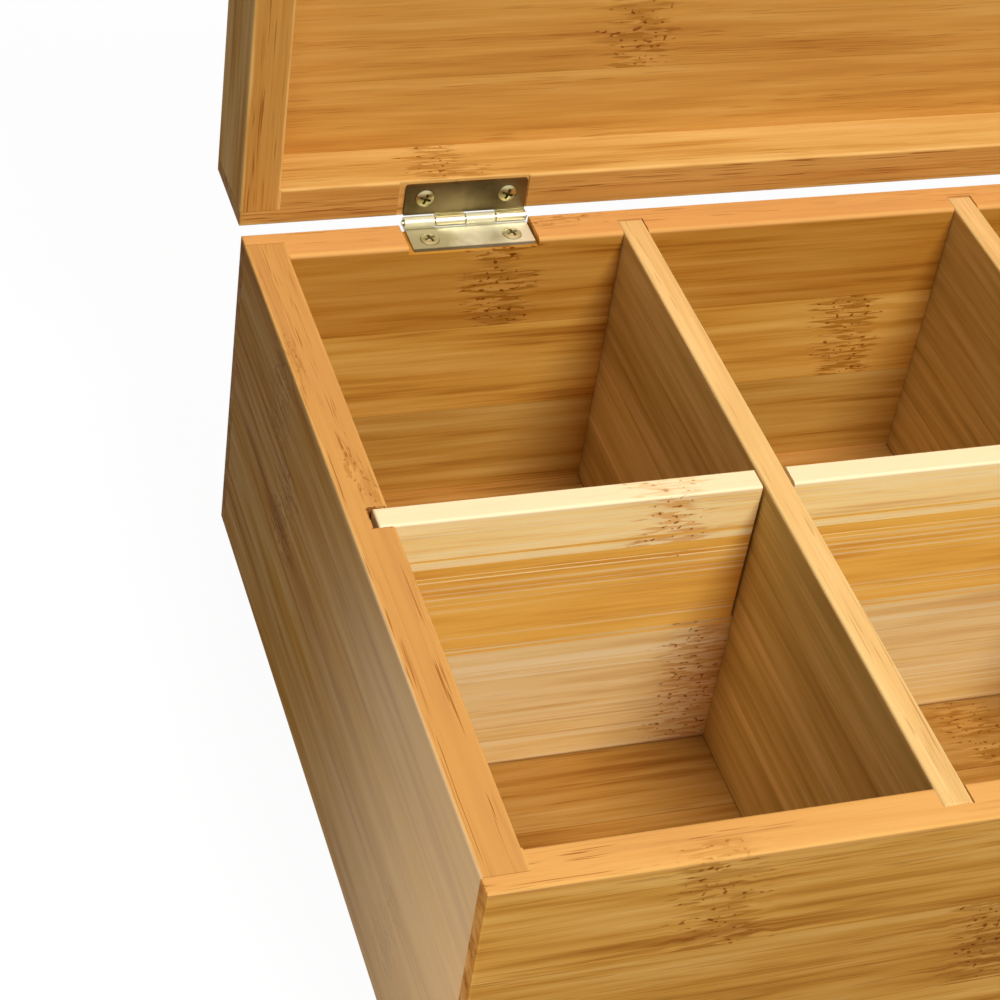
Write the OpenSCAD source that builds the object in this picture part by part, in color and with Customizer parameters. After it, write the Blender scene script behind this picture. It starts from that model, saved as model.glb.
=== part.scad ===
// Tea bag organizer box: a rabbeted bamboo case with a hinged lid and an
// egg-crate divider grid that makes two rows of four compartments.
// Millimetres, +Z up, +Y to the back. The origin is the centre of the underside.

/* [Case] */
// Outer width of the case, left to right
box_w = 309; // [240:1:400]
// Outer depth of the case, front to back
box_d = 169; // [130:1:260]
// Height of the case without the lid
box_h = 73; // [55:1:120]
// Thickness of the walls and of the lid's rails
wall = 8; // [7:0.5:12]
// Thickness of the floor and of the lid's top panel
panel_t = 8; // [5:0.5:10]
// How far the floor and the top panel are let into the walls
panel_rebate = 4; // [2:0.5:5]
// Thickness of the lap that covers the end of each side wall
lap_t = 3.3; // [2:0.1:5]
// Radius of the eased outer edges
edge_r = 0.4; // [0.2:0.1:1.5]
// Radius of the eased inner edges of the rim
rim_edge_r = 0.8; // [0.3:0.1:1.5]

/* [Dividers] */
// Thickness of the three long dividers
long_t = 5.3; // [4:0.1:8]
// Thickness of the cross divider
cross_t = 5; // [4:0.1:8]
// Depth of the dados that house the long dividers
long_housing = 4.4; // [2:0.1:5]
// Depth of the slots that house the cross divider
cross_housing = 4; // [2:0.1:5]
// Room between the cross divider's end and the end of its slot
cross_end_gap = 1.1; // [0.2:0.1:1.5]
// How far the cross divider's top lies below the rim
cross_drop = 0.1; // [0:0.1:3]
// Room at each side of a long divider in its dado
long_clear = 0.1; // [0.05:0.05:0.3]
// Room at each side of the cross divider in its slot
cross_clear = 0.2; // [0.05:0.05:0.5]
// Room at each side of a long divider in its notch in the cross divider
notch_clear = 0.5; // [0.1:0.1:1]
// Radius of the eased top edges of the dividers
divider_edge_r = 0.5; // [0.2:0.1:1.5]
// Room under the dividers
seat_gap = 0.2; // [0.1:0.1:0.5]

/* [Lid] */
// Height of the lid
lid_h = 20; // [14:1:40]
// Angle by which the lid stands open
lid_open = 90; // [0:1:100]
// Room between the rims when the lid is shut
rim_gap = 0.3; // [0.2:0.1:0.6]
// Height of the finger groove in the lid's front rail
groove_h = 3.5; // [1:0.5:6]
// Radius of the finger groove's arc
groove_r = 50; // [30:1:90]
// How deep the finger groove is cut into the rail
groove_depth = 5; // [2:0.5:6]

/* [Hinges] */
// Length of each hinge along its pin
hinge_l = 25.4; // [20:0.1:40]
// Distance from the end of the case to the hinge
hinge_inset = 33.4; // [12:0.1:40]
// Width of a leaf from the pin's axis to its free edge
leaf_w = 8.4; // [7:0.1:9]
// Thickness of the hinge plate
leaf_t = 0.6; // [0.5:0.1:0.7]
// Radius of the hinge pin
pin_r = 0.56; // [0.5:0.02:0.6]
// Running clearance of the pin in the knuckles
pin_clear = 0.04; // [0.02:0.01:0.08]
// Width of the seam where the rolled edge of a leaf meets its plate
knuckle_seam = 0.12; // [0.05:0.01:0.2]
// Gap between neighbouring knuckles
knuckle_gap = 0.3; // [0.1:0.05:0.6]
// Number of knuckles on each hinge
knuckles = 4; // [4:2:6]
// Distance of the pin's axis behind the back of the case
axis_back = 1.2; // [1.1:0.05:2]
// Distance of the pin's axis below the rim
axis_drop = 0.6; // [0.5:0.05:0.9]
// Room in the mortise beyond the hinge's outer end
mortise_outer = 1.4; // [0.2:0.1:3]
// Room in the mortise beyond the hinge's inner end
mortise_inner = 0.4; // [0.2:0.1:3]
// Radius of the corners of a leaf
leaf_corner_r = 0.5; // [0.3:0.1:2]

/* [Screws] */
// Distance between the two screws of a leaf
screw_spacing = 17.2; // [12:0.1:18]
// Distance of the screws from the pin's axis
screw_from_axis = 5.2; // [4.6:0.1:5.6]
// Radius of a screw's head
head_r = 1.95; // [1.5:0.05:2.2]
// Height of the raised top of a screw's head
head_rise = 0.5; // [0.2:0.05:0.55]
// Radius of a screw's shank
shank_r = 0.9; // [0.7:0.05:1.1]
// Length of a screw under its head
screw_l = 8; // [6:0.5:10]

/* [Hidden] */
$fn = 32;

// Overshoot of every cut past the face that it opens, and facets of the wide arcs
over = 1;
fine_fn = 96;

// Inside of the case
in_w = box_w - 2 * wall;
in_d = box_d - 2 * wall;

// Dividers: three of them part the inside into four equal columns
column_w = (in_w - 3 * long_t) / 4;
column_pitch = column_w + long_t;
grid_bottom = panel_t + seat_gap;
long_h = box_h - grid_bottom;
cross_h = long_h - cross_drop;
lap_z = grid_bottom + cross_h / 2;
lap_gap = 0.2;
housing_gap = 0.15;

// Hinge pin's axis, and the rim of the shut lid
axis_y = box_d / 2 + axis_back;
axis_z = box_h - axis_drop;
lid_z = box_h + rim_gap;
knuckle_pitch = hinge_l / knuckles;
knuckle_r = pin_r + pin_clear + leaf_t;
knuckle_room = 0.15;
mortise_z = axis_z - knuckle_r;
lid_mortise_z = axis_z + knuckle_r;
pin_overhang = 0.4;
left_hinge_x = -box_w / 2 + hinge_inset;
right_hinge_x = box_w / 2 - hinge_inset - hinge_l;

// Screws
head_clear = 0.1;
neck_flare = 0.25;
neck_r = shank_r + neck_flare;
pilot_clear = 0.03;
tip_l = 1.6;
recess_w = 0.6;
recess_l = 2.4;
recess_depth = 0.7;
recess_turn = 20;

case_tone = [0.80, 0.55, 0.27];
rail_tone = [0.83, 0.58, 0.30];
pale_tone = [0.93, 0.80, 0.56];
brass_tone = [0.74, 0.68, 0.46];

// ---- shared shapes -------------------------------------------------------

// Rectangle about the origin with rounded corners, as true arcs
module rounded_rect(w, h, r) {
    square([w - 2 * r, h], center = true);
    square([w, h - 2 * r], center = true);
    for (x = [-1, 1], y = [-1, 1])
        translate([x * (w / 2 - r), y * (h / 2 - r)]) circle(r = r);
}

// Block on the XY plane with every outer edge eased
module eased_block(w, d, h, r) {
    translate([0, 0, h / 2]) intersection() {
        linear_extrude(h, center = true) rounded_rect(w, d, r);
        rotate([90, 0, 0]) linear_extrude(d, center = true) rounded_rect(w, h, r);
        rotate([90, 0, 90]) linear_extrude(w, center = true) rounded_rect(d, h, r);
    }
}

// What is cut from a square inner edge, running along +X, to round it by r
module edge_cut(length, r) {
    rotate([90, 0, 90]) linear_extrude(length, center = true) difference() {
        translate([-over, -r]) square([r + over, r + over]);
        translate([r, -r]) circle(r = r);
    }
}

// Space of the front or back board of a frame of outer depth d, between z0 and z1
module long_board(side, z0, z1) {
    y_out = side * box_d / 2;
    translate([0, y_out - side * lap_t / 2, (z0 + z1) / 2])
        cube([box_w, lap_t, z1 - z0], center = true);
    translate([0, y_out - side * wall / 2, (z0 + z1) / 2])
        cube([in_w, wall, z1 - z0], center = true);
}

// Space of a side board, whose ends lie in the rabbets of the long boards
module side_board(side, z0, z1) {
    translate([side * (box_w - wall) / 2, 0, (z0 + z1) / 2])
        cube([wall, box_d - 2 * lap_t, z1 - z0], center = true);
}

// The floor or the lid's panel, let into the rebate round the frame
module panel_block(z0) {
    translate([0, 0, z0 + panel_t / 2])
        cube([in_w + 2 * panel_rebate, in_d + 2 * panel_rebate, panel_t], center = true);
}

// Turns what is drawn on the shut lid to where the lid stands open
module lid_pose() {
    translate([0, axis_y, axis_z]) rotate([-lid_open, 0, 0])
        translate([0, -axis_y, -axis_z]) children();
}

// ---- case ----------------------------------------------------------------

// Inner edge of the rim along the front or the back board
module rim_cut_long(side, z, up) {
    translate([0, side * in_d / 2, z]) scale([1, side, up]) edge_cut(in_w, rim_edge_r);
}

// Inner edge of the rim along a side board
module rim_cut_side(side, z, up) {
    translate([side * in_w / 2, 0, z]) scale([side, 1, up])
        rotate([0, 0, -90]) edge_cut(in_d, rim_edge_r);
}

module long_dados(side) {
    for (i = [-1, 0, 1])
        translate([i * column_pitch, side * (in_d / 2 + long_housing / 2 - over / 2),
                (panel_t + box_h + over) / 2])
            cube([long_t + 2 * long_clear, long_housing + over, box_h - panel_t + over],
                center = true);
}

// Mortise for one hinge, right through the rim, between heights z0 and z1
module hinge_mortise(hinge_x, outer_side, z0, z1) {
    outer_x = outer_side < 0 ? hinge_x - mortise_outer : hinge_x - mortise_inner;
    translate([outer_x, box_d / 2 - wall - over, z0])
        cube([hinge_l + mortise_outer + mortise_inner, wall + 2 * over, z1 - z0]);
}

module hinge_mortises(z0, z1) {
    hinge_mortise(left_hinge_x, -1, z0, z1);
    hinge_mortise(right_hinge_x, 1, z0, z1);
}

// Places its children at both screws of a hinge, on the wood side of the leaf
module at_screws(hinge_x) {
    for (s = [-1, 1])
        translate([hinge_x + hinge_l / 2 + s * screw_spacing / 2, axis_y - screw_from_axis, 0])
            children();
}

module pilot_holes(z, down) {
    for (x = [left_hinge_x, right_hinge_x])
        at_screws(x) translate([0, 0, z]) scale([1, 1, down])
            translate([0, 0, -over]) cylinder(r = shank_r + pilot_clear, h = screw_l + 2 * over);
}

module case_board() {
    difference() {
        intersection() {
            eased_block(box_w, box_d, box_h, edge_r);
            children();
        }
        panel_block(0);
    }
}

module back_wall() {
    color(case_tone) difference() {
        case_board() long_board(1, 0, box_h);
        long_dados(1);
        rim_cut_long(1, box_h, 1);
        hinge_mortises(mortise_z, box_h + over);
        pilot_holes(mortise_z, -1);
    }
}

module front_wall() {
    color(case_tone) difference() {
        case_board() long_board(-1, 0, box_h);
        long_dados(-1);
        rim_cut_long(-1, box_h, 1);
    }
}

module side_wall(side) {
    color(case_tone) difference() {
        case_board() side_board(side, 0, box_h);
        rim_cut_side(side, box_h, 1);
        translate([side * (in_w / 2 + cross_housing / 2 - over / 2), 0,
                (panel_t + box_h + over) / 2])
            cube([cross_housing + over, cross_t + 2 * cross_clear, box_h - panel_t + over],
                center = true);
    }
}

module floor_panel() { color(case_tone) panel_block(0); }

// ---- divider grid --------------------------------------------------------

// Board on edge, running along +Y, with its top edges and top corners eased
module divider_board(length, t, h) {
    translate([0, 0, grid_bottom]) intersection() {
        translate([0, 0, (h - divider_edge_r) / 2]) union() {
            cube([t, length, h - divider_edge_r], center = true);
            rotate([90, 0, 0]) linear_extrude(length, center = true)
                translate([0, divider_edge_r / 2])
                    rounded_rect(t, h, divider_edge_r);
        }
        translate([0, 0, h / 2]) union() {
            rotate([90, 0, 90]) linear_extrude(t, center = true)
                rounded_rect(length, h, divider_edge_r);
            translate([0, 0, -divider_edge_r]) cube([t, length, h - 2 * divider_edge_r],
                center = true);
        }
    }
}

// A long divider stands in the dados and straddles the cross divider
module long_divider(i) {
    length = in_d + 2 * (long_housing - housing_gap);
    color(case_tone) translate([i * column_pitch, 0, 0]) difference() {
        divider_board(length, long_t, long_h);
        translate([0, 0, (grid_bottom - over + lap_z + lap_gap) / 2])
            cube([long_t + 2 * over, cross_t + 2 * cross_clear, lap_z + lap_gap - grid_bottom + over],
                center = true);
    }
}

// The cross divider runs through all four columns under the long dividers
module cross_divider() {
    length = in_w + 2 * (cross_housing - cross_end_gap);
    color(pale_tone) difference() {
        rotate([0, 0, 90]) divider_board(length, cross_t, cross_h);
        for (i = [-1, 0, 1])
            translate([i * column_pitch, 0, (lap_z + box_h + over) / 2])
                cube([long_t + 2 * notch_clear, cross_t + 2 * over, box_h + over - lap_z],
                    center = true);
    }
}

// ---- lid, drawn shut and turned open ----------------------------------------

module lid_board() {
    difference() {
        intersection() {
            translate([0, 0, lid_z]) eased_block(box_w, box_d, lid_h, edge_r);
            children();
        }
        panel_block(lid_z + lid_h - panel_t);
    }
}

module lid_back_rail() {
    color(rail_tone) lid_pose() difference() {
        lid_board() long_board(1, lid_z, lid_z + lid_h);
        rim_cut_long(1, lid_z, -1);
        hinge_mortises(lid_z - over, lid_mortise_z);
        pilot_holes(lid_mortise_z, 1);
    }
}

module lid_front_rail() {
    color(rail_tone) lid_pose() difference() {
        lid_board() long_board(-1, lid_z, lid_z + lid_h);
        rim_cut_long(-1, lid_z, -1);
        translate([0, -box_d / 2 + groove_depth, lid_z + groove_h - groove_r])
            rotate([90, 0, 0]) cylinder(r = groove_r, h = groove_depth + over, $fn = fine_fn);
    }
}

module lid_side_rail(side) {
    color(rail_tone) lid_pose() difference() {
        lid_board() side_board(side, lid_z, lid_z + lid_h);
        rim_cut_side(side, lid_z, -1);
    }
}

module lid_panel() { color(rail_tone) lid_pose() panel_block(lid_z + lid_h - panel_t); }

// ---- hinges --------------------------------------------------------------

// One leaf about the pin's axis, with its plate below the axis and running to -Y.
// It holds every second knuckle, counted from first, and is cut away for the others.
// Each knuckle is the plate's own edge rolled round the pin, with its seam left open.
module hinge_leaf(first) {
    difference() {
        union() {
            translate([0, -leaf_w, -knuckle_r]) {
                translate([leaf_corner_r, 0, 0]) cube([hinge_l - 2 * leaf_corner_r, leaf_w, leaf_t]);
                translate([0, leaf_corner_r, 0]) cube([hinge_l, leaf_w - leaf_corner_r, leaf_t]);
                for (x = [leaf_corner_r, hinge_l - leaf_corner_r])
                    translate([x, leaf_corner_r, 0]) cylinder(r = leaf_corner_r, h = leaf_t);
            }
            rotate([0, 90, 0]) cylinder(r = knuckle_r, h = hinge_l);
        }
        translate([-over, 0, 0]) rotate([0, 90, 0])
            cylinder(r = pin_r + pin_clear, h = hinge_l + 2 * over);
        translate([-over, -knuckle_r - over, leaf_t - knuckle_r])
            cube([hinge_l + 2 * over, knuckle_r + over - pin_r / 2, knuckle_seam]);
        for (i = [1 - first:2:knuckles - 1]) {
            low = i == 0 ? -over : i * knuckle_pitch - knuckle_gap / 2;
            high = i == knuckles - 1 ? hinge_l + over : (i + 1) * knuckle_pitch + knuckle_gap / 2;
            translate([low, -knuckle_r - knuckle_room, -knuckle_r - over])
                cube([high - low, 2 * (knuckle_r + knuckle_room), 2 * (knuckle_r + over)]);
        }
        for (i = [first:2:knuckles - 1]) {
            if (i > 0) translate([i * knuckle_pitch - knuckle_gap / 2, -knuckle_r - knuckle_room,
                    -knuckle_r - over])
                cube([knuckle_gap, 2 * (knuckle_r + knuckle_room), 2 * (knuckle_r + over)]);
        }
        for (s = [-1, 1])
            translate([hinge_l / 2 + s * screw_spacing / 2, -screw_from_axis, -knuckle_r])
                cylinder(r1 = neck_r + head_clear, r2 = head_r + head_clear, h = leaf_t);
    }
}

module box_leaf(hinge_x) {
    color(brass_tone) translate([hinge_x, axis_y, axis_z]) hinge_leaf(0);
}

module lid_leaf(hinge_x) {
    color(brass_tone) lid_pose() translate([hinge_x, axis_y, axis_z])
        mirror([0, 0, 1]) hinge_leaf(1);
}

module hinge_pin(hinge_x) {
    color(brass_tone) translate([hinge_x - pin_overhang, axis_y, axis_z])
        rotate([0, 90, 0]) cylinder(r = pin_r, h = hinge_l + 2 * pin_overhang);
}

// Raised countersunk screw pointing to -Z, its leaf's wood side at z = 0
module screw() {
    cap_r = (head_r * head_r + head_rise * head_rise) / (2 * head_rise);
    difference() {
        rotate_extrude() union() {
            intersection() {
                translate([0, leaf_t + head_rise - cap_r]) circle(r = cap_r, $fn = fine_fn);
                translate([0, leaf_t]) square([head_r, head_rise + over]);
            }
            polygon([[0, leaf_t], [head_r, leaf_t], [neck_r, 0], [shank_r, 0],
                [shank_r, tip_l - screw_l], [0, -screw_l]]);
        }
        for (a = [0, 90])
            translate([0, 0, leaf_t + head_rise - recess_depth / 2 + over / 2])
                rotate([0, 0, a + recess_turn])
                    cube([recess_l, recess_w, recess_depth + over], center = true);
    }
}

module box_screws(hinge_x) {
    color(brass_tone) at_screws(hinge_x) translate([0, 0, mortise_z]) screw();
}

module lid_screws(hinge_x) {
    color(brass_tone) lid_pose() at_screws(hinge_x) translate([0, 0, lid_mortise_z])
        mirror([0, 0, 1]) screw();
}

back_wall();
front_wall();
side_wall(-1);  // left_wall
side_wall(1);  // right_wall
floor_panel();
long_divider(-1);  // left_long_divider
long_divider(0);  // middle_long_divider
long_divider(1);  // right_long_divider
cross_divider();
lid_back_rail();
lid_front_rail();
lid_side_rail(-1);  // lid_left_rail
lid_side_rail(1);  // lid_right_rail
lid_panel();
box_leaf(left_hinge_x);  // left_hinge_box_leaf
lid_leaf(left_hinge_x);  // left_hinge_lid_leaf
hinge_pin(left_hinge_x);  // left_hinge_pin
box_leaf(right_hinge_x);  // right_hinge_box_leaf
lid_leaf(right_hinge_x);  // right_hinge_lid_leaf
hinge_pin(right_hinge_x);  // right_hinge_pin
box_screws(left_hinge_x);  // left_hinge_box_screws
lid_screws(left_hinge_x);  // left_hinge_lid_screws
box_screws(right_hinge_x);  // right_hinge_box_screws
lid_screws(right_hinge_x);  // right_hinge_lid_screws
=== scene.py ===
import bmesh
import bpy
from mathutils import Matrix, Vector


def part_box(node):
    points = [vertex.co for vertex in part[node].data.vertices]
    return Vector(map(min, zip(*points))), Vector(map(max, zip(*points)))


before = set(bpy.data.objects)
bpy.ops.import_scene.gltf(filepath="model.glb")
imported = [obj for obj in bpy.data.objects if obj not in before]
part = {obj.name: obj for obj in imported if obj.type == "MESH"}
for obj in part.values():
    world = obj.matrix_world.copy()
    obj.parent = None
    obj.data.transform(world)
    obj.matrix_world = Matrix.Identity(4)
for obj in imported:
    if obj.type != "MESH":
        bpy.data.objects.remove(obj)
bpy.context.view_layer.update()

# ---- case walls ----------------------------------------------------------
# Four boards of carbonised bamboo, each glued up from flat staves, rabbeted
# and glued at the corners, sanded and sprayed with a satin lacquer.

AXES = "XYZ"
OBJECT_COORDINATES = 3


def paint(red, green, blue):
    """A colour of the 0 to 255 scale as the linear values that a shader takes."""
    return tuple(((c / 255 + 0.055) / 1.055) ** 2.4 for c in (red, green, blue)) + (1.0,)


def put(tree, kind, feeds, out=0, **settings):
    """Adds a node, feeds its sockets from values or from other nodes, and gives its output."""
    node = tree.nodes.new("ShaderNode" + kind)
    for name, value in settings.items():
        setattr(node, name, value)
    for socket, feed in feeds.items():
        if isinstance(feed, bpy.types.NodeSocket):
            tree.links.new(feed, node.inputs[socket])
        else:
            node.inputs[socket].default_value = feed
    return node.outputs[out]


def maths(tree, operation, *feeds):
    """One sum, product or the like of values and sockets."""
    return put(tree, "Math", dict(enumerate(feeds)), operation=operation)


def ramp(tree, value, stops):
    """A colour ramp through (place, colour) stops."""
    node = tree.nodes.new("ShaderNodeValToRGB")
    tree.links.new(value, node.inputs[0])
    bar = node.color_ramp.elements
    while len(bar) < len(stops):
        bar.new(0.5)
    for element, (place, colour) in zip(bar, stops):
        element.position = place
        element.color = colour
    return node.outputs[0]


def grade(tree, value, low, high, start=0.0, end=1.0):
    """A smooth step from start to end as the value goes from low to high."""
    feeds = {0: value, 1: low, 2: high, 3: start, 4: end}
    return put(tree, "MapRange", feeds, interpolation_type="SMOOTHSTEP")


def blend(tree, factor, under, over, mode="MIX"):
    """The colour under, covered or multiplied by the colour over as far as factor says."""
    feeds = {0: factor, 6: under, 7: over}
    return put(tree, "Mix", feeds, out=2, data_type="RGBA", blend_type=mode)


def object_place(tree):
    """The point in the object's own space, whole and split into its X, Y and Z."""
    place = put(tree, "TexCoord", {}, out=OBJECT_COORDINATES)
    return place, put(tree, "SeparateXYZ", {0: place}).node.outputs


def new_finish(name):
    """A material with its node tree and its shader."""
    material = bpy.data.materials.new(name)
    material.use_nodes = True
    tree = material.node_tree
    return material, tree, tree.nodes["Principled BSDF"]


def dress(material, *names):
    """Gives CAD pieces a finish in place of their plain one."""
    for name in names:
        piece = part[name]
        piece.data.materials.clear()
        piece.data.materials.append(material)


# noises of the wood: features per metre along and across the grain, and levels of detail
FIBRES = (30, 2300, 1.0)
STREAKS = (24, 430, 2.0)
CLOUDS = (11, 95, 1.0)
STRANDS = (3, 1500, 0.0)
CURLS = (330, 330, 0.0)

# noises that push a value to and fro, with the depth of that push as their fourth figure
WANDER = (16, 60, 1.0, 0.0013)
KNOT_FRAY = (25, 1300, 0.0, 2.4)
WORN_HIGHLIT_EDGES = (90, 300, 1.0, 0.0009)
TORN_EDGES = (1300, 1300, 1.0, 0.0013)

# noises that leave marks, which fade in between the fourth figure and the fifth
PORES = (95, 3800, 0.0, 0.60, 0.72)
PORE_PATCHES = (9, 300, 0.0, 0.42, 0.62)
SILKS = (4, 2300, 0.0, 0.50, 0.64)
SILK_BANDS = (2, 190, 0.0, 0.46, 0.60)
KNOT_DASHES = (170, 1400, 1.0, 0.47, 0.55)
KNOT_PATCHES = (48, 620, 1.0, 0.47, 0.60)
KNOT_DOTS = (850, 1300, 0.0, 0.67, 0.75)

# how far fibres, streaks and clouds shift the wood's tone, and the tone that they shift
FIBRE_TONE = 0.16
STREAK_TONE = 0.48
CLOUD_TONE = 0.32
MIDDLE_TONE = 0.34

# stains, which darken the wood, and the tints between which single staves vary; the pores' stain also
# colours the painted shade at the foot and in a slot
KNOT_STAIN = (0.60, 0.47, 0.24, 1)
PORE_STAIN_AND_SHADE = (0.42, 0.23, 0.08, 1)
DOT_STAIN = (0.42, 0.19, 0.05, 1)
STAVE_DULL = (0.89, 0.87, 0.83, 1)
STAVE_BRIGHT = (1.02, 1.02, 1.02, 1)

# a knot's reach along the grain in metres, how it slants, how many reaches apart its measure
# puts neighbouring staves, so that no knot runs on into the next one, where its band ends, and
# how many reaches away a board without knots has its nearest one
KNOT_REACH = 0.0058
KNOT_SLANT = 0.14
STAVE_GAP = 9.0
KNOT_BAND = (0.70, 1.25)
FAR_OFF = 100.0

# half the width of a glue line and of the blur at a rim's edge, and the depths over which an
# arris's wear and painted highlight, a joint's line, the painted shade at the foot and in a
# slot, and the painted sheen on an outer face fade, in metres
GLUE_LINE = 0.00018
RIM_BLUR = 0.0003
ARRIS = (0.0001, 0.0008)
JOINT = (0.00006, 0.00022)
FOOT = (0.0001, 0.0006)
SLOT_SHADE = (0.0, 0.0002)
SHEEN_SKIN = (0.0002, 0.0005)

# the curl of the fibres beside a knot: the reaches over which it fades, and its depth in metres
CURL_FADE = (0.9, 2.6)
CURL_DEPTH = 0.0012

# how much further the pores open and the knots fade where a rim is sanded bare
BARE_PORES = 0.35
BARE_KNOTS = -0.4

# how far apart the grain of two staves and of two boards is taken from the endless noise
STAVE_SHIFT = 3.0
BOARD_SHIFT = 7.3

# a noise seldom nears its limits, so strands take six times the swing that is asked of them
STRAND_SWING = 6.0

# how far the edge of the painted sheen, a pale reflection painted on the outer face, drifts, in
# metres
SHEEN_DRIFT = 0.03


class Grain:
    """The way bamboo runs in one piece: along its grain, across its staves, and through it."""

    def __init__(self, tree, name, axes, cut, seed):
        order = [AXES.index(axis) for axis in axes]
        low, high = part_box(name)
        split = object_place(tree)[1]
        self.tree = tree
        self.seed = seed
        self.low = [low[axis] for axis in order]
        self.high = [high[axis] for axis in order]
        self.along, self.across, self.through = (split[axis] for axis in order)
        past_edge, self.stave, past_face, self.ply = cut
        self.edge = self.low[1] + past_edge
        self.face = self.low[2] + past_face

    def noise(self, kind, run=None, side=None):
        """Noise drawn out along the grain, or along the runs and sides of single fibres."""
        stretch, fine, detail = kind[:3]
        run = self.along if run is None else run
        side = self.across if side is None else side
        vector = put(self.tree, "CombineXYZ", {
            0: maths(self.tree, "MULTIPLY", run, stretch),
            1: maths(self.tree, "MULTIPLY", side, fine),
            2: maths(self.tree, "MULTIPLY_ADD", self.through, fine, self.seed * BOARD_SHIFT)})
        return put(self.tree, "TexNoise", {
            "Vector": vector, "Scale": 1.0, "Detail": detail, "Roughness": 0.5})

    def swing(self, value, depth):
        """A noise value as a swing of the given depth about nought."""
        return maths(self.tree, "MULTIPLY_ADD", value, depth, -0.5 * depth)

    def push(self, value, kind):
        """A value that a noise pushes to and fro."""
        return maths(self.tree, "ADD", value, self.swing(self.noise(kind), kind[3]))

    def marks(self, kind, depth=1.0, run=None, side=None):
        """The marks that a noise leaves, as dark as depth says."""
        return grade(self.tree, self.noise(kind, run, side), *kind[3:], 0.0, depth)

    def count(self, value, start, width):
        """How many widths a value lies past the start."""
        return maths(self.tree, "DIVIDE", maths(self.tree, "SUBTRACT", value, start), width)

    def inset(self, way):
        """How far a point lies inside the piece's box: way 0 along, 1 across, 2 through."""
        value = (self.along, self.across, self.through)[way]
        near, far = self.low[way], self.high[way]
        off = maths(self.tree, "SUBTRACT", value, (near + far) / 2)
        off = maths(self.tree, "ABSOLUTE", off)
        return maths(self.tree, "SUBTRACT", (far - near) / 2, off)


def lay_staves(tree, grain, mixed):
    """The number of the stave and of the ply at each point, and a random value of their own."""
    strand = grain.swing(grain.noise(STRANDS), STRAND_SWING * mixed)
    strand = maths(tree, "ADD", grain.across, strand)
    number = maths(tree, "FLOOR", grain.count(strand, grain.edge, grain.stave))
    layer = maths(tree, "FLOOR", grain.count(grain.through, grain.face, grain.ply))
    place = put(tree, "CombineXYZ", {0: number, 1: layer, 2: grain.seed})
    return number, layer, put(tree, "TexWhiteNoise", {0: place})


def place_knots(tree, grain, knots, number, layer):
    """How many reaches off the nearest knot is, and the band that each knot leaves across its
    stave, frayed along the grain. A knot is where the cane had a joint."""
    slant = maths(tree, "MULTIPLY_ADD", grain.across, KNOT_SLANT, grain.along)
    here = put(tree, "CombineXYZ", {
        0: maths(tree, "DIVIDE", slant, KNOT_REACH),
        1: maths(tree, "MULTIPLY", number, STAVE_GAP),
        2: maths(tree, "MULTIPLY", layer, STAVE_GAP)})
    away = FAR_OFF
    for stave_number, ply_number, spot in knots:
        middle = spot + KNOT_SLANT * (grain.edge + grain.stave * (stave_number + 0.5))
        knot = (middle / KNOT_REACH, stave_number * STAVE_GAP, ply_number * STAVE_GAP)
        far = put(tree, "VectorMath", {0: here, 1: knot}, out=1, operation="DISTANCE")
        away = maths(tree, "MINIMUM", away, far)
    return away, grade(tree, grain.push(away, KNOT_FRAY), *KNOT_BAND, 1.0, 0.0)


def stave_colour(tree, tone, number, own, tones, staves):
    """The wood's tones, tinted stave by stave and varied a little by their own values."""
    colour = ramp(tree, tone, tones)
    step = 1.0 / len(staves)
    tint = ramp(tree, maths(tree, "MULTIPLY_ADD", number, step, 1.5 * step),
                [(step * i, shade + (1,)) for i, shade in enumerate(staves)])
    tint.node.color_ramp.interpolation = "CONSTANT"
    colour = blend(tree, 1.0, colour, tint, "MULTIPLY")
    vary = ramp(tree, own, [(0.0, STAVE_DULL), (1.0, STAVE_BRIGHT)])
    return blend(tree, 1.0, colour, vary, "MULTIPLY")


def glue_wear_and_highlight(tree, grain, colour, pale, glue):
    """Thin glue lines between the staves, and paler arrises: wear, and a painted highlight on the
    eased edges.
    """
    line = maths(tree, "FRACT", grain.count(grain.across, grain.edge, grain.stave))
    line = maths(tree, "ABSOLUTE", maths(tree, "SUBTRACT", line, 0.5))
    line = grade(tree, line, 0.5 - GLUE_LINE / grain.stave, 0.5, 0.0, glue)
    colour = blend(tree, line, colour, KNOT_STAIN, "MULTIPLY")
    # arrises are paler: wear, and a painted highlight on the eased edges
    arris = maths(tree, "MAXIMUM", grain.inset(1), grain.inset(2))
    worn_and_highlit = grade(tree, grain.push(arris, WORN_HIGHLIT_EDGES), *ARRIS, 0.5, 0.0)
    return blend(tree, worn_and_highlit, colour, pale)


def joints_and_painted_shade(tree, grain, seam, foot, slot):
    """How dark each point is from the end joints, from the painted shade along the line at the foot,
    and from the painted shade on the walls and the end of the slot, whose edges the saw tore."""
    dark = grade(tree, grain.inset(0), *JOINT, seam, 0.0)
    # painted shade: a dark line along the foot, where the piece stands on the floor
    if foot:
        height = maths(tree, "SUBTRACT", grain.across, grain.low[1])
        dark = maths(tree, "MAXIMUM", dark, grade(tree, height, *FOOT, foot, 0.0))
    # painted shade on the slot's walls and end, with a ragged edge where the saw tore the fibres
    if slot:
        half_width, end = slot
        past_side = maths(tree, "SUBTRACT", maths(tree, "ABSOLUTE", grain.along), half_width)
        past_end = maths(tree, "SUBTRACT", maths(tree, "ABSOLUTE", grain.through), end)
        torn_slot_shade = grain.push(maths(tree, "MAXIMUM", past_side, past_end), TORN_EDGES)
        dark = maths(tree, "MAXIMUM", dark, grade(tree, torn_slot_shade, *SLOT_SHADE, 0.75, 0.0))
    return dark


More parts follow.
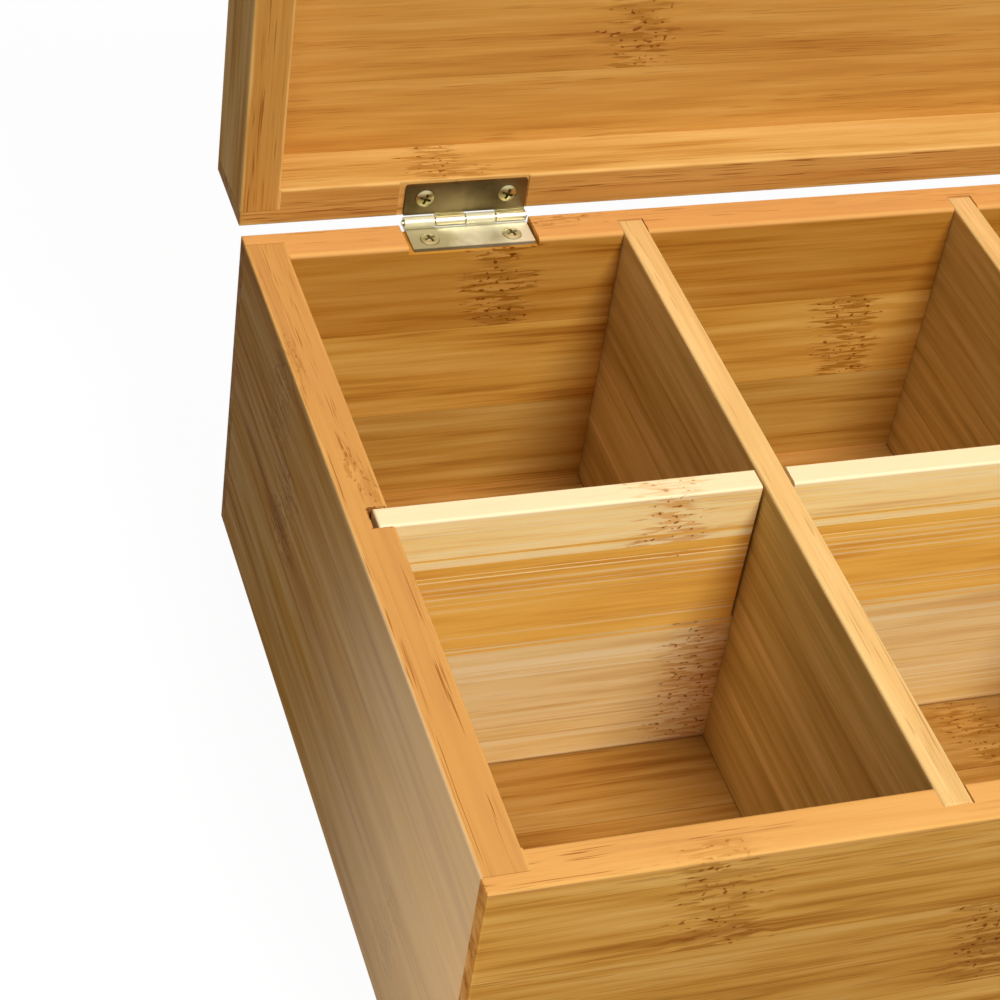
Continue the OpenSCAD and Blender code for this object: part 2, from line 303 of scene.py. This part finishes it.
def paint_sheen_mask(tree, grain, cloud, start, full, share):
    """How much painted sheen, a pale reflection painted on the outer face, covers each point; it
    drifts in from start to full.
    """
    drift = maths(tree, "ADD", grain.along, grain.swing(cloud, SHEEN_DRIFT))
    sheen_mask = grade(tree, drift, start, full, 0.0, share)
    skin, under = (grain.low[2] + depth for depth in SHEEN_SKIN)
    outside = grade(tree, grain.through, skin, under, 1.0, 0.0)
    return maths(tree, "MULTIPLY", sheen_mask, outside)


HONEY = [(0.34, paint(168, 104, 36)), (0.47, paint(210, 150, 66)), (0.66, paint(230, 178, 98))]


def board(name, axes, cut, knots, staves, tones=HONEY, seed=0.0, gloss=0.50, rim=None,
          slot=None, knotty=(0.75, 0.5, 0.8), pores=0.35, silk=0.0, mixed=0.0003, glue=0.5,
          seam=0.5, foot=0.0, painted_sheen=None, stain=KNOT_STAIN):
    """Finishes one piece as laminated bamboo.

    axes    the axes along the grain, across the staves and through the board
    cut     how far past the low edge stave 0 starts, a stave's width, how far past the low
            face ply 0 starts, and a ply's thickness
    knots   the stave, the ply and the place along the grain of each knot
    staves  the tints of the staves, from stave -1 upwards
    tones   the wood's own colours, from dark to pale
    seed    the run of grain that this board was cut from
    gloss   the middle roughness of the lacquer
    rim     a sanded edge: its depth, the way it faces, its colour, and how bare it is
    slot    a sawn slot, whose walls and end get painted shade: half its width, and how far out it ends
    knotty  how dark the dashes, the patches and the dots of a knot are
    stain   the colour of those dashes and patches
    pores   how dark the open pores are
    silk    how pale the thin silky fibres are
    mixed   how far the fibres of neighbouring staves run into each other, in metres
    glue    how dark the glue lines are, as seam is for the end joints and foot for the painted shade at the foot
    bloom   a painted sheen, a pale reflection painted on the outer face: where it starts, where it is full, its colour, and its share
    """
    material, tree, shader = new_finish(name + "_bamboo")
    shader.inputs["Specular IOR Level"].default_value = 0.015
    grain = Grain(tree, name, axes, cut, seed)
    number, layer, own = lay_staves(tree, grain, mixed)
    away, band = place_knots(tree, grain, knots, number, layer)

    # the fibres of each stave run straight, wander a little, and curl where they pass a knot
    run = maths(tree, "MULTIPLY_ADD", own, STAVE_SHIFT, grain.along)
    near_knot = grade(tree, away, *CURL_FADE, CURL_DEPTH, 0.0)
    curl = maths(tree, "MULTIPLY", grain.swing(grain.noise(CURLS), 1.0), near_knot)
    side = maths(tree, "ADD", grain.across, grain.push(curl, WANDER))
    fibre = grain.noise(FIBRES, run, side)
    streak = grain.noise(STREAKS, run, side)
    cloud = grain.noise(CLOUDS, run, side)
    tone = maths(tree, "ADD", grain.swing(fibre, FIBRE_TONE), grain.swing(streak, STREAK_TONE))
    clouded = maths(tree, "MULTIPLY_ADD", cloud, CLOUD_TONE, MIDDLE_TONE)
    tone = maths(tree, "ADD", tone, clouded)
    colour = stave_colour(tree, tone, number, own, tones, staves)
    pale = tones[-1][1]

    # thin pale fibres lie in loose bands
    if silk:
        bands = grain.marks(SILK_BANDS, 1.0, run)
        threads = grain.marks(SILKS, silk, run)
        colour = blend(tree, maths(tree, "MULTIPLY", threads, bands), colour, pale)

    # the rim is sanded bare, so that it is paler and its pores stand open
    if rim:
        depth, way, sanded, share = rim
        level = max(way * grain.low[1], way * grain.high[1]) - depth
        height = maths(tree, "MULTIPLY", grain.across, way)
        on_rim = grade(tree, height, level - RIM_BLUR, level + RIM_BLUR)
        colour = blend(tree, maths(tree, "MULTIPLY", on_rim, share), colour, sanded)
        pores = maths(tree, "MULTIPLY_ADD", on_rim, BARE_PORES, pores)
        faded = maths(tree, "MULTIPLY_ADD", on_rim, BARE_KNOTS, 1.0)
        band = maths(tree, "MULTIPLY", band, faded)
    porous = maths(tree, "MULTIPLY", grain.marks(PORE_PATCHES, 1.0, run), pores)
    pore = maths(tree, "MULTIPLY", grain.marks(PORES, 1.0, run, side), porous)
    colour = blend(tree, pore, colour, PORE_STAIN_AND_SHADE, "MULTIPLY")

    # a knot is a paler band, broken up by brown dashes, patches and dark dots
    dash_depth, patch_depth, dot_depth = knotty
    colour = blend(tree, maths(tree, "MULTIPLY", band, 0.2), colour, pale)
    dash = grain.marks(KNOT_DASHES, dash_depth, run)
    patch = grain.marks(KNOT_PATCHES, patch_depth, run)
    brown = maths(tree, "MULTIPLY", maths(tree, "MAXIMUM", dash, patch), band)
    colour = blend(tree, brown, colour, stain, "MULTIPLY")
    dot = maths(tree, "MULTIPLY", grain.marks(KNOT_DOTS, dot_depth), band)
    colour = blend(tree, dot, colour, DOT_STAIN, "MULTIPLY")

    colour = glue_wear_and_highlight(tree, grain, colour, pale, glue)
    dark = joints_and_painted_shade(tree, grain, seam, foot, slot)
    # the end joints darken, and here the painted shade at the foot and in the slot is laid on
    colour = blend(tree, dark, colour, PORE_STAIN_AND_SHADE, "MULTIPLY")
    # a painted sheen: a pale reflection painted on the outer face, toward its front
    if painted_sheen:
        start, full, sheen_colour, share = painted_sheen
        sheen_mask = paint_sheen_mask(tree, grain, cloud, start, full, share)
        colour = blend(tree, sheen_mask, colour, sheen_colour)
    tree.links.new(colour, shader.inputs["Base Color"])

    rough = grade(tree, streak, 0.3, 0.7, gloss + 0.08, gloss - 0.06)
    tree.links.new(rough, shader.inputs["Roughness"])
    relief = maths(tree, "SUBTRACT", fibre, maths(tree, "MAXIMUM", pore, brown))
    bump = put(tree, "Bump", {"Strength": 0.25, "Distance": 0.00008, "Height": relief})
    tree.links.new(bump, shader.inputs["Normal"])
    dress(material, name)


DARK = (0.90, 0.86, 0.78)
EVEN = (0.96, 0.95, 0.92)
LIGHT = (1.03, 1.04, 1.04)
SANDED_RIM = paint(222, 161, 94)
WARM_RIM = paint(240, 176, 108)
# the pale colour of the painted sheen, a reflection painted on the left wall's outer face
SHEEN_PAINT = paint(216, 184, 142)
RIM_DEPTH = 0.0008
WALL_RIM = (RIM_DEPTH, 1, SANDED_RIM, 0.6)

# a ply that starts this far before a board's low face surely holds that face
HAIR = 0.0001
LONG_WALL_CUT = (0.009, 0.0215, 0, 0.004)
LEFT_WALL_CUT = (0.009, 0.0215, 0, 0.0027)
RIGHT_WALL_CUT = (0.009, 0.0215, -HAIR, 0.0027)

# the slot is wider than the cross divider by its play at each side, and longer by its end gap
SLOT_PLAY = 0.0002
SLOT_END_GAP = 0.0011
cross_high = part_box("cross_divider")[1]
side_slot = (cross_high[1] + SLOT_PLAY, cross_high[0] + SLOT_END_GAP)

board("back_wall", "XZY", LONG_WALL_CUT, [
    (2, 0, -0.1028), (1, 0, -0.0210), (0, 0, 0.0950), (2, 0, 0.0520), (1, 0, 0.1130),
    (2, 1, 0.0310), (2, 1, -0.0880), (1, 1, -0.0690), (0, 1, 0.0510), (-1, 1, 0.1200)],
    (EVEN, (0.84, 0.91, 0.86), (1.0, 1.04, 0.88), (0.84, 0.77, 0.54)), seed=1.0,
    rim=(RIM_DEPTH, 1, WARM_RIM, 0.6), knotty=(0.95, 0.7, 0.9), pores=0.1)
board("front_wall", "XZY", LONG_WALL_CUT, [
    (2, 0, 0.0810), (1, 0, -0.0620), (0, 0, 0.0120), (2, 0, -0.1150), (1, 0, 0.1310),
    (2, 1, -0.0370), (1, 1, 0.0440), (0, 1, -0.1080)],
    (DARK, LIGHT, EVEN, LIGHT), seed=2.0, rim=WALL_RIM)
# the left wall's staves are tinted darker and yellower than the other walls' as painted shade on the
# side away from the lamps, and its outer face gets a painted sheen toward the front
board("left_wall", "YZX", LEFT_WALL_CUT, [
    (2, 0, 0.0465), (1, 0, 0.0385), (0, 0, -0.0460), (2, 1, 0.0145), (2, 2, 0.0100),
    (1, 2, -0.0330)],
    ((0.84, 0.79, 0.50), (0.80, 0.76, 0.47), (0.82, 0.77, 0.48), (0.73, 0.67, 0.43)),
    seed=3.0, rim=WALL_RIM, slot=side_slot, painted_sheen=(0.035, -0.045, SHEEN_PAINT, 0.62))
board("right_wall", "YZX", RIGHT_WALL_CUT, [
    (2, 2, -0.0380), (1, 2, 0.0280), (0, 2, 0.0510), (2, 1, -0.0300), (1, 0, -0.0520)],
    (EVEN, LIGHT, DARK, LIGHT), seed=4.0, rim=WALL_RIM, slot=side_slot)

# ---- floor panel ---------------------------------------------------------
# One wide board of the same bamboo, glued up from eight staves that run
# lengthwise, and let into a rebate round the foot of the four walls.

board("floor_panel", "XYZ", (-0.0005, 0.0202, 0, 0.009), [
    (0, 0, -0.0880), (2, 0, 0.0640), (3, 0, -0.0210), (5, 0, 0.1120), (6, 0, -0.1030),
    (7, 0, 0.0300)],
    ((0.70, 0.71, 0.78), (0.75, 0.75, 0.82)) * 4, seed=5.0, glue=0.9)

# ---- long dividers -------------------------------------------------------
# Three thinner boards of a lighter bamboo, notched from below for the cross
# divider, pushed down into the dados of the walls, and sanded flush with the rim.

STRAW = [(0.34, paint(178, 146, 78)), (0.50, paint(206, 174, 100)), (0.66, paint(229, 200, 132))]
SANDED_STRAW = paint(246, 188, 124)

# plies are counted from one plane for all three, so that each divider shows other ones
PLY_PLANE = -0.0047
for turn, name in enumerate(("left_long_divider", "middle_long_divider", "right_long_divider")):
    past_face = PLY_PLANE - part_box(name)[0][0]
    board(name, "YZX", (-0.0004, 0.0167, past_face, 0.0019), (),
          (EVEN, EVEN, LIGHT, EVEN, LIGHT), tones=STRAW, seed=6.0 + turn,
          rim=(0.0007, 1, SANDED_STRAW, 0.5), pores=0.05, seam=0.1, foot=0.9)

# ---- cross divider -------------------------------------------------------
# One board of natural, unstained bamboo, notched from above for the long
# dividers, and left as sawn, without lacquer. It sits in the side walls' slots.

CREAM = [(0.34, paint(226, 186, 122)), (0.50, paint(248, 226, 166)), (0.66, paint(255, 240, 196))]
SAWN_TOP = paint(246, 222, 178)
AMBER_STAIN = (0.72, 0.38, 0.06, 1)
board("cross_divider", "XZY", (-0.0078, 0.0203, -HAIR, 0.006), [
    (3, 0, -0.0945), (1, 0, -0.0835), (0, 0, -0.0825), (3, 0, 0.0600), (2, 0, 0.0150),
    (1, 0, 0.1010)],
    ((0.9, 0.80, 0.60), (1.0, 0.86, 0.62), (1.05, 0.94, 0.80), (0.98, 0.67, 0.24),
     (1.16, 1.04, 0.82)),
    tones=CREAM, seed=11.0, gloss=0.60, rim=(0.0005, 1, SAWN_TOP, 0.9),
    knotty=(0.6, 0.15, 0.9), pores=0.15, silk=0.38, mixed=0.0026, glue=0.1, seam=0.1,
    foot=0.9, stain=AMBER_STAIN)

# ---- lid -----------------------------------------------------------------
# A shallow frame of four glued rails with a panel let into its top, of the same
# bamboo as the case. It stands open here, so that the rails' depth runs along Y.

LID_HONEY = [(0.34, paint(194, 132, 58)), (0.48, paint(226, 173, 92)), (0.66, paint(242, 198, 122))]
PANEL_HONEY = [(0.30, paint(188, 126, 54)), (0.50, paint(214, 156, 74)), (0.70, paint(230, 180, 100))]
LID_RIM = (RIM_DEPTH, -1, SANDED_RIM, 0.3)
RAIL_STAVES = (EVEN, EVEN, LIGHT)
board("lid_back_rail", "XYZ", (0, 0.0210, -HAIR, 0.0041), [
    (0, 1, -0.1130), (0, 0, 0.0310), (0, 1, 0.0920)],
    RAIL_STAVES, tones=LID_HONEY, seed=14.0, rim=LID_RIM)
board("lid_front_rail", "XYZ", (0, 0.0210, 0, 0.0041), [
    (0, 1, -0.0630), (0, 0, 0.0710), (0, 1, 0.0250)],
    RAIL_STAVES, tones=LID_HONEY, seed=15.0, rim=LID_RIM)
# the left rail's staves are tinted darker and yellower than the other rails' as painted shade on the
# side away from the lamps
board("lid_left_rail", "ZYX", (0, 0.0210, 0, 0.0027), [
    (0, 0, 0.1500), (0, 1, 0.2020)],
    ((0.88, 0.80, 0.62), (0.90, 0.82, 0.64), LIGHT), tones=LID_HONEY, seed=16.0, rim=LID_RIM)
board("lid_right_rail", "ZYX", (0, 0.0210, -HAIR, 0.0027), [
    (0, 2, 0.1210), (0, 1, 0.1760)],
    RAIL_STAVES, tones=LID_HONEY, seed=17.0, rim=LID_RIM)
board("lid_panel", "XZY", (0, 0.0202, -HAIR, 0.009), [
    (1, 0, -0.0720), (2, 0, 0.0880), (4, 0, -0.1100), (5, 0, 0.0150), (7, 0, 0.1220)],
    (EVEN, LIGHT, EVEN, LIGHT, DARK, EVEN, LIGHT, EVEN, DARK), tones=PANEL_HONEY, seed=18.0)

# ---- hinges --------------------------------------------------------------
# Two box hinges stamped and rolled from thin brass strip round a loose pin, with
# an antique finish, let into the back wall and the lid's back rail. The knuckles are
# bright round the pin, partly from wear and partly as a painted highlight. The box
# leaves take a lit copy of the brass and the lid leaves a darker, shaded copy, which
# is painted light.

# the patina's dark brass, which also stands for painted shade in the knuckles' crease, along a leaf's
# free edge and round a screw's head
PATINA_AND_SHADE = paint(58, 46, 24)
# the knuckles' colour round the pin: wear, and partly a painted highlight
KNUCKLE_HIGHLIGHT = paint(226, 218, 182)

# the patina: its mottle and its larger tarnish, each with its scale, its levels of detail and
# its share, and where in it the metal is at its dullest and its brightest
MOTTLE = (260.0, 3.0, 0.4)
TARNISH = (75.0, 1.0, 1.1)
PATINA_SHIFT = -0.25
DULLEST, BRIGHTEST = 0.36, 0.64
STROKES = (60, 4200, 4200)

# how far from the pin's axis the bright skin of a knuckle ends, where a leaf grows out of the
# knuckle, and over which depths the patina and painted shade show on a free edge and in a recess, in
# metres
KNUCKLE_SKIN = (0.00122, 0.0015)
KNUCKLE_ROOT = 0.0017
ROOT_WIDTH = 0.0006
FREE_EDGE = (0.0001, 0.0004)
SUNK_BLUR = (-0.00004, 0.00010)


def rub_and_highlight_knuckles(tree, split, colour, rough, rubbed_and_highlit):
    """Rubs the knuckles bright and smooth round the pin, which is partly a painted highlight, and
    darkens the line at their root with patina and painted shade in the crease where the leaf rolls
    into the knuckle.
    """
    low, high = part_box("left_hinge_pin")
    middle = (0, (low[1] + high[1]) / 2, (low[2] + high[2]) / 2)
    flat = put(tree, "CombineXYZ", {1: split[1], 2: split[2]})
    far = put(tree, "VectorMath", {0: flat, 1: middle}, out=1, operation="DISTANCE")
    barrel = grade(tree, far, *KNUCKLE_SKIN, 1.0, 0.0)
    root = maths(tree, "ABSOLUTE", maths(tree, "SUBTRACT", far, KNUCKLE_ROOT))
    # patina and painted shade in the crease at the knuckles' root
    colour = blend(tree, grade(tree, root, 0.0, ROOT_WIDTH, 0.5, 0.0), colour, PATINA_AND_SHADE)
    # the knuckles' bright skin: wear, and partly a painted highlight
    colour = blend(tree, barrel, colour, rubbed_and_highlit)
    return colour, maths(tree, "MULTIPLY_ADD", barrel, -0.08, rough)


def brass(name, dull, bright, gloss, metal=1.0, rubbed_and_highlit=None, sunk=None, end_gradient=None):
    """Antique brass: a bright metal under a thin uneven patina.

    rubbed  the colour of the knuckles round the hinge's pin, bright from wear and partly a painted
    highlight
    sunk    the axis, the way up and the level below which the patina is left, in the recess and as a dark ring round the head that is partly painted shadow
    wiped   the start, the end and the free edge of a leaf, which is brighter toward its end and darker along its free edge with patina and painted shade
    """
    material, tree, shader = new_finish(name)
    shader.inputs["Metallic"].default_value = metal
    place, split = object_place(tree)
    patina = PATINA_SHIFT
    for scale, detail, share in (MOTTLE, TARNISH):
        cloud = put(tree, "TexNoise", {"Vector": place, "Scale": scale, "Detail": detail})
        patina = maths(tree, "MULTIPLY_ADD", cloud, share, patina)
    if end_gradient:
        start, end, free_edge = end_gradient
        patina = maths(tree, "ADD", patina, grade(tree, split[0], start, end, -0.26, 0.14))
    colour = ramp(tree, patina, [(DULLEST, dull), (BRIGHTEST, bright)])
    # the free edge darkens with patina and painted shade where the leaf meets the wood
    if end_gradient:
        line, leaf = (free_edge + depth for depth in FREE_EDGE)
        colour = blend(tree, grade(tree, split[1], line, leaf, 0.7, 0.0), colour, PATINA_AND_SHADE)
    rough = grade(tree, patina, 0.3, 0.7, gloss + 0.05, gloss - 0.03)
    if rubbed_and_highlit:
        colour, rough = rub_and_highlight_knuckles(tree, split, colour, rough, rubbed_and_highlit)
    # patina in the recess, and a dark ring round the head's edge that is partly painted shadow
    if sunk:
        axis, way, level = sunk
        height = maths(tree, "MULTIPLY", split[AXES.index(axis)], way)
        below, above = (way * level + blur for blur in SUNK_BLUR)
        colour = blend(tree, grade(tree, height, below, above, 0.75, 0.0), colour, PATINA_AND_SHADE)
    tree.links.new(colour, shader.inputs["Base Color"])
    tree.links.new(rough, shader.inputs["Roughness"])
    strokes = put(tree, "Mapping", {0: place, 3: STROKES})
    brushed = put(tree, "TexNoise", {"Vector": strokes, "Scale": 1.0})
    bump = put(tree, "Bump", {"Strength": 0.10, "Distance": 0.00002, "Height": brushed})
    tree.links.new(bump, shader.inputs["Normal"])
    return material


leaf_low, leaf_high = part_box("left_hinge_box_leaf")
# the box leaves take a lit copy of the brass, paler and less metallic, as painted light
lit_leaf_brass = brass("lit_leaf_brass", paint(180, 170, 128), paint(246, 238, 204), 0.36, 0.3,
                   rubbed_and_highlit=KNUCKLE_HIGHLIGHT, end_gradient=(leaf_low[0], leaf_high[0], leaf_low[1]))
# the lid leaves take a darker, shaded copy of the same brass, as painted shade
shaded_leaf_brass = brass("shaded_leaf_brass", paint(88, 76, 50), paint(126, 112, 80), 0.40,
                   rubbed_and_highlit=KNUCKLE_HIGHLIGHT)
pin_brass = brass("pin_brass", paint(170, 158, 120), paint(222, 212, 170), 0.28)
for side in ("left", "right"):
    dress(lit_leaf_brass, side + "_hinge_box_leaf")
    dress(shaded_leaf_brass, side + "_hinge_lid_leaf")
    dress(pin_brass, side + "_hinge_pin")

# ---- screws --------------------------------------------------------------
# Small raised countersunk brass screws with a cross recess, two in each leaf.
# Patina is left in the recess and round the head, where the dark ring is partly painted
# shadow. The box screws take a lit copy of the brass and the lid screws a darker, shaded
# copy, which is painted light.

HEAD_RIM = 0.00047
box_screw_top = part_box("left_hinge_box_screws")[1][2]
lid_screw_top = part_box("left_hinge_lid_screws")[0][1]
# the box screws: a lit copy of the brass, paler and less metallic, as painted light
lit_screw_brass = brass("lit_screw_brass", paint(200, 188, 132), paint(238, 228, 176), 0.32, 0.6,
                        sunk=("Z", 1, box_screw_top - HEAD_RIM))
# the lid screws: a darker, shaded copy of the same brass, as painted shade
shaded_screw_brass = brass("shaded_screw_brass", paint(150, 140, 96), paint(200, 190, 140), 0.32,
                        sunk=("Y", -1, lid_screw_top + HEAD_RIM))
for side in ("left", "right"):
    dress(lit_screw_brass, side + "_hinge_box_screws")
    dress(shaded_screw_brass, side + "_hinge_lid_screws")

# ---- studio --------------------------------------------------------------
# A white floor and backdrop under four soft lamps: the key above the front, weaker
# ones above the left and behind, and a small weak one low at the left. The camera
# looks down from the front left.

FLOOR_REACH = 6.0
FLOOR_WHITE = 0.95
FLOOR_DULL = 0.12
ROOM_FILL = 0.28
ROOM_SLOPE = 0.17


def seen_straight(tree):
    """One for the rays of the camera, of reflections and of glass, and nought for the rest."""
    path = tree.nodes.new("ShaderNodeLightPath").outputs
    mirrored = maths(tree, "MAXIMUM", path["Is Glossy Ray"], path["Is Transmission Ray"])
    return maths(tree, "MAXIMUM", path["Is Camera Ray"], mirrored)


ground = bpy.data.meshes.new("studio_floor")
sheet = bmesh.new()
bmesh.ops.create_grid(sheet, x_segments=1, y_segments=1, size=FLOOR_REACH)
sheet.to_mesh(ground)
sheet.free()
studio_floor = bpy.data.objects.new("studio_floor", ground)
bpy.context.scene.collection.objects.link(studio_floor)

# the floor looks white, and is dull to the light that falls on the box
white = bpy.data.materials.new("studio_white")
white.use_nodes = True
floor_tree = white.node_tree
floor_tree.nodes.clear()
seen = seen_straight(floor_tree)
shade = put(floor_tree, "MapRange", {0: seen, 3: FLOOR_DULL, 4: FLOOR_WHITE})
card = put(floor_tree, "BsdfDiffuse", {"Color": shade})
glow = put(floor_tree, "Emission", {"Color": (1, 1, 1, 1), "Strength": 1.0})
glowing = maths(floor_tree, "MULTIPLY", seen, FLOOR_WHITE)
surface = put(floor_tree, "MixShader", {0: glowing, 1: card, 2: glow})
finish_node = floor_tree.nodes.new("ShaderNodeOutputMaterial")
floor_tree.links.new(surface, finish_node.inputs[0])
ground.materials.append(white)

# the room looks white, and its light on the box is a little weaker from the left
world = bpy.data.worlds.new("studio_world")
bpy.context.scene.world = world
world.use_nodes = True
room_tree = world.node_tree
toward_right = put(room_tree, "SeparateXYZ", {0: put(room_tree, "TexCoord", {}, out=0)})
fill = maths(room_tree, "MULTIPLY_ADD", toward_right, ROOM_SLOPE, ROOM_FILL)
strength = put(room_tree, "MapRange", {0: seen_straight(room_tree), 3: fill, 4: 1.0})
room = room_tree.nodes["Background"]
room.inputs[0].default_value = (1, 1, 1, 1)
room_tree.links.new(strength, room.inputs[1])


def softbox(name, place, target, size, power):
    """A round soft lamp that points at its target and is not seen itself."""
    lamp = bpy.data.lights.new(name, "AREA")
    lamp.shape = "DISK"
    lamp.size = size
    lamp.energy = power
    rig = bpy.data.objects.new(name, lamp)
    rig.location = place
    rig.visible_camera = False
    rig.rotation_euler = (Vector(target) - Vector(place)).to_track_quat("-Z", "Y").to_euler()
    bpy.context.scene.collection.objects.link(rig)


softbox("key_lamp", (0.13, -0.74, 1.12), (0, 0, 0.05), 0.5, 15.5)
softbox("top_lamp", (-0.42, 0.08, 1.05), (0, 0, 0.05), 0.5, 2.4)
softbox("back_lamp", (0, 0.95, 0.45), (0, 0.10, 0.12), 0.5, 4.0)
softbox("side_lamp", (-0.235, -0.095, 0.05), (-0.155, -0.07, 0.04), 0.06, 0.048)

EYE = (-0.258586, -0.309937, 0.360182)
RIGHT = Vector((0.94954175, -0.28762381, 0.12507199))
DOWN = Vector((-0.09852377, -0.65212535, -0.75168184))
AHEAD = Vector((0.29776421, 0.70143073, -0.64755803))
camera = bpy.data.objects.new("camera", bpy.data.cameras.new("camera"))
camera.data.lens = 91.13
camera.data.sensor_width = 36.0
camera.data.clip_start = 0.01
turned = Matrix((RIGHT, -DOWN, -AHEAD)).transposed().to_4x4()
camera.matrix_world = Matrix.Translation(EYE) @ turned
bpy.context.scene.collection.objects.link(camera)
bpy.context.scene.camera = camera
bpy.context.scene.view_settings.view_transform = "Standard"
